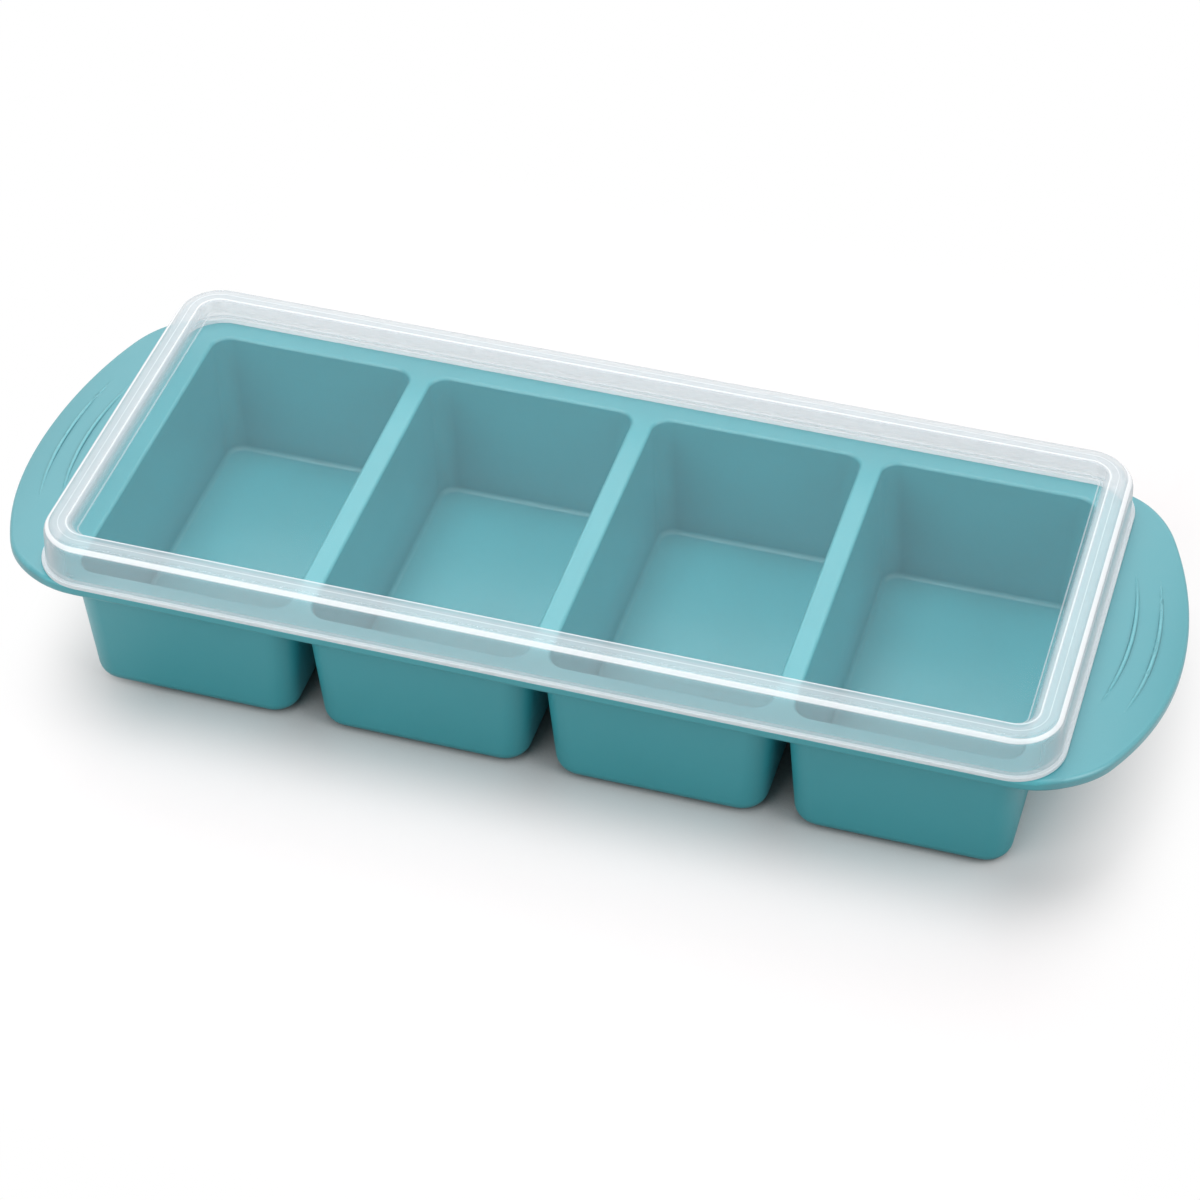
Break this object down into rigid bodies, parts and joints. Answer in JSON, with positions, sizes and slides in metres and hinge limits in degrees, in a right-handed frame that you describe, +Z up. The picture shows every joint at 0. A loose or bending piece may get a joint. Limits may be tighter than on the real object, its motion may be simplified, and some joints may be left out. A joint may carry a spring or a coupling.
{
  "type": "lidded silicone freezing mold",
  "caption": "Silicone freezing tray with a row of deep rectangular cups, rounded grip handles at both ends, push-up cup floors and a clear lift-off lid.",
  "frame": {"origin": "under the middle of the tray, on the surface that the cups stand on", "axes": "+X along the row of cups, towards the right handle; +Y away from the viewer; +Z up through the lid"},
  "size_m": [0.334, 0.1264, 0.0563],
  "materials": {
    "silicone": "matte teal silicone",
    "steel_wire": "bright drawn wire",
    "clear_lid": "clear moulded plastic with a slightly milky rim"
  },
  "bodies": {
    "tray": {"tray_deck": "silicone", "left_handle": "silicone", "right_handle": "silicone", "cup_1": "silicone", "cup_2": "silicone", "cup_3": "silicone", "cup_4": "silicone", "rim_wire": "steel_wire"},
    "lid": {"lid": "clear_lid"},
    "floor_1": {"cup_1_floor": "silicone"},
    "floor_2": {"cup_2_floor": "silicone"},
    "floor_3": {"cup_3_floor": "silicone"},
    "floor_4": {"cup_4_floor": "silicone"}
  },
  "joints": [
    {"name": "lid_lift", "type": "slide", "parent": "tray", "child": "lid", "axis": [0, 0, 1], "range_m": [0, 0.06]},
    {"name": "floor_1_push", "type": "slide", "parent": "tray", "child": "floor_1", "axis": [0, 0, 1], "range_m": [0, 0.012], "stiffness_N_per_m": 1500},
    {"name": "floor_2_push", "type": "slide", "parent": "tray", "child": "floor_2", "axis": [0, 0, 1], "range_m": [0, 0.012], "stiffness_N_per_m": 1500},
    {"name": "floor_3_push", "type": "slide", "parent": "tray", "child": "floor_3", "axis": [0, 0, 1], "range_m": [0, 0.012], "stiffness_N_per_m": 1500},
    {"name": "floor_4_push", "type": "slide", "parent": "tray", "child": "floor_4", "axis": [0, 0, 1], "range_m": [0, 0.012], "stiffness_N_per_m": 1500}
  ]
}
